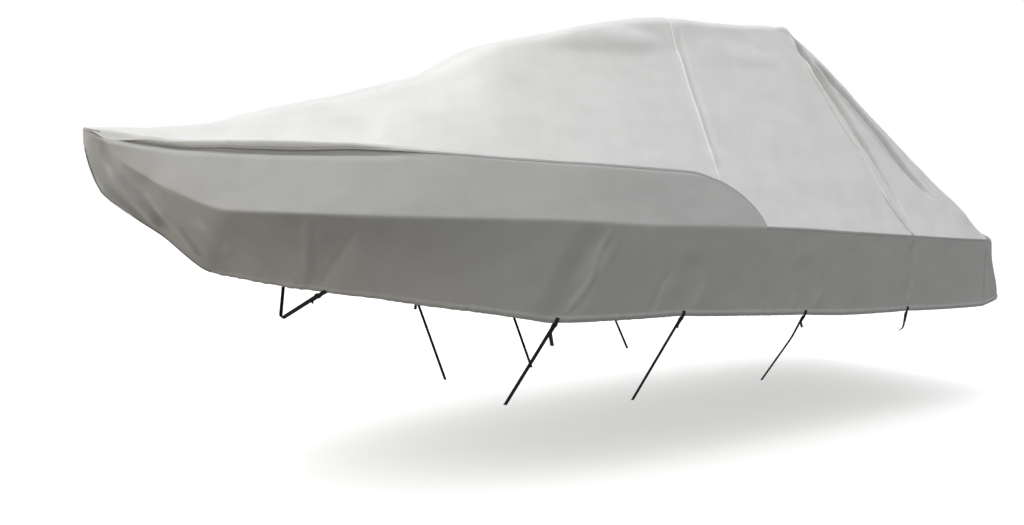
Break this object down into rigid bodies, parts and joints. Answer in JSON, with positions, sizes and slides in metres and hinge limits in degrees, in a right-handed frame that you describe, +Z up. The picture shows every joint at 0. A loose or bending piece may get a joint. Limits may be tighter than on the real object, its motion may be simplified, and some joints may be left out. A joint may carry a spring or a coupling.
{
  "type": "boat cover",
  "caption": "Fitted cloth cover for a hardtop cabin boat on its trailer, in its draped shape, with tie-down straps on ladder buckles along the hem.",
  "frame": {"origin": "the point under the top panel where the cover rests on the hardtop, on the centreline", "axes": "+X aft, +Y to starboard, +Z up; the bow tip is at -X"},
  "size_m": [6.8349, 2.3944, 2.6619],
  "materials": {
    "light_cloth": "matt coated woven polyester, light grey",
    "dark_cloth": "matt coated woven polyester, dark grey",
    "webbing": "woven polypropylene webbing, black",
    "buckle": "moulded acetal, black, satin"
  },
  "bodies": {
    "root": {"top_forward": "light_cloth", "top_middle": "light_cloth", "top_aft": "light_cloth", "side_port": "dark_cloth", "side_starboard": "dark_cloth", "stern_panel": "dark_cloth", "tab_port_1": "webbing", "buckle_port_1": "buckle", "strap_port_1": "webbing", "tab_port_2": "webbing", "buckle_port_2": "buckle", "strap_port_2": "webbing", "tab_port_3": "webbing", "buckle_port_3": "buckle", "strap_port_3": "webbing", "tab_port_4": "webbing", "buckle_port_4": "buckle", "strap_port_4": "webbing", "tab_starboard_1": "webbing", "buckle_starboard_1": "buckle", "strap_starboard_1": "webbing", "tab_starboard_2": "webbing", "buckle_starboard_2": "buckle", "strap_starboard_2": "webbing", "tab_starboard_3": "webbing", "buckle_starboard_3": "buckle", "strap_starboard_3": "webbing", "tab_starboard_4": "webbing", "buckle_starboard_4": "buckle", "strap_starboard_4": "webbing", "tab_bow": "webbing", "buckle_bow": "buckle", "strap_bow": "webbing"}
  },
  "joints": []
}
